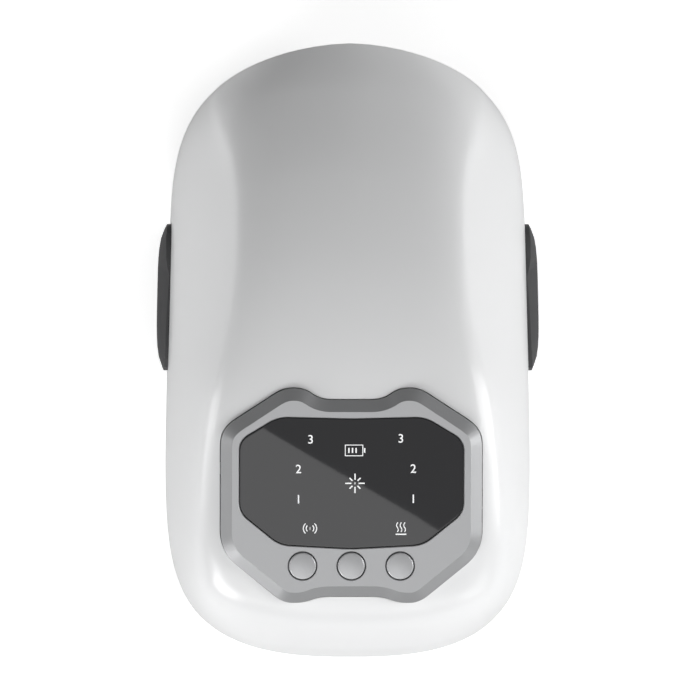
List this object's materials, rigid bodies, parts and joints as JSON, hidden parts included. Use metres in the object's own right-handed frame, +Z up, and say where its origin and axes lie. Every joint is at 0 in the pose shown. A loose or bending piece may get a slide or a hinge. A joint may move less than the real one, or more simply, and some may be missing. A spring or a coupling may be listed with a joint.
{
  "type": "heated knee massager",
  "caption": "Heated knee massager: gloss hood with a tilted control panel and push buttons over a padded knee arch with air bags, vibration motors, heating film and a strap.",
  "frame": {"origin": "On the table under the middle of the massager, which lies open side down on the rim of its hood.", "axes": "+Y points to the thigh end, +X to the right of someone who looks down on the panel with the thigh end away from them, and +Z up through the hood's crown."},
  "size_m": [0.1506, 0.24, 0.128],
  "materials": {
    "shell_white": "gloss",
    "panel_silver": "satin",
    "window_smoke": "gloss",
    "graphite_plastic": "matt",
    "guide_white": "satin",
    "board_green": "satin",
    "black_plastic": "satin",
    "cell_wrap": "gloss",
    "steel": "brushed",
    "weight_brass": "turned",
    "hose_rubber": "matt",
    "bag_film": "satin",
    "heating_film": "satin",
    "liner_cloth": "soft",
    "strap_cloth": "woven",
    "wing_rubber": "matt",
    "lens_red": "gloss"
  },
  "bodies": {
    "shell": {"front_shell": "shell_white", "control_panel": "panel_silver", "display_window": "window_smoke", "strap_ear_left": "wing_rubber", "strap_ear_right": "wing_rubber", "inner_shell": "graphite_plastic", "light_guide": "guide_white", "display_board": "board_green", "massage_switch": "black_plastic", "power_switch": "black_plastic", "heat_switch": "black_plastic", "power_board": "board_green", "charging_port": "steel", "battery_left": "cell_wrap", "battery_right": "cell_wrap", "battery_tray": "black_plastic", "air_pump_head": "black_plastic", "air_pump_motor": "steel", "air_valve": "black_plastic", "pump_hose": "hose_rubber", "air_hose_left": "hose_rubber", "air_hose_right": "hose_rubber", "airbag_left": "bag_film", "airbag_right": "bag_film", "vibration_motor_left": "steel", "vibration_motor_right": "steel", "heating_film": "heating_film", "light_board": "board_green", "light_lens": "lens_red", "knee_liner": "liner_cloth", "strap_left": "strap_cloth", "strap_right": "strap_cloth", "hook_patch": "graphite_plastic", "shell_screw_1": "steel", "shell_screw_2": "steel", "shell_screw_3": "steel", "shell_screw_4": "steel"},
    "massage_button": {"massage_button": "panel_silver"},
    "power_button": {"power_button": "panel_silver"},
    "heat_button": {"heat_button": "panel_silver"},
    "weight_left": {"vibration_weight_left": "weight_brass"},
    "weight_right": {"vibration_weight_right": "weight_brass"}
  },
  "joints": [
    {"name": "massage_press", "type": "slide", "parent": "shell", "child": "massage_button", "axis": [0, 0.1478, -0.989], "range_m": [0, 0.0008], "stiffness_N_per_m": 2000},
    {"name": "power_press", "type": "slide", "parent": "shell", "child": "power_button", "axis": [0, 0.1478, -0.989], "range_m": [0, 0.0008], "stiffness_N_per_m": 2000},
    {"name": "heat_press", "type": "slide", "parent": "shell", "child": "heat_button", "axis": [0, 0.1478, -0.989], "range_m": [0, 0.0008], "stiffness_N_per_m": 2000},
    {"name": "weight_left_spin", "type": "hinge", "parent": "shell", "child": "weight_left", "pos_m": [-0.0375, 0.038, 0.0868], "axis": [0, 1, 0], "continuous": true},
    {"name": "weight_right_spin", "type": "hinge", "parent": "shell", "child": "weight_right", "pos_m": [0.0375, 0.038, 0.0868], "axis": [0, 1, 0], "continuous": true}
  ]
}
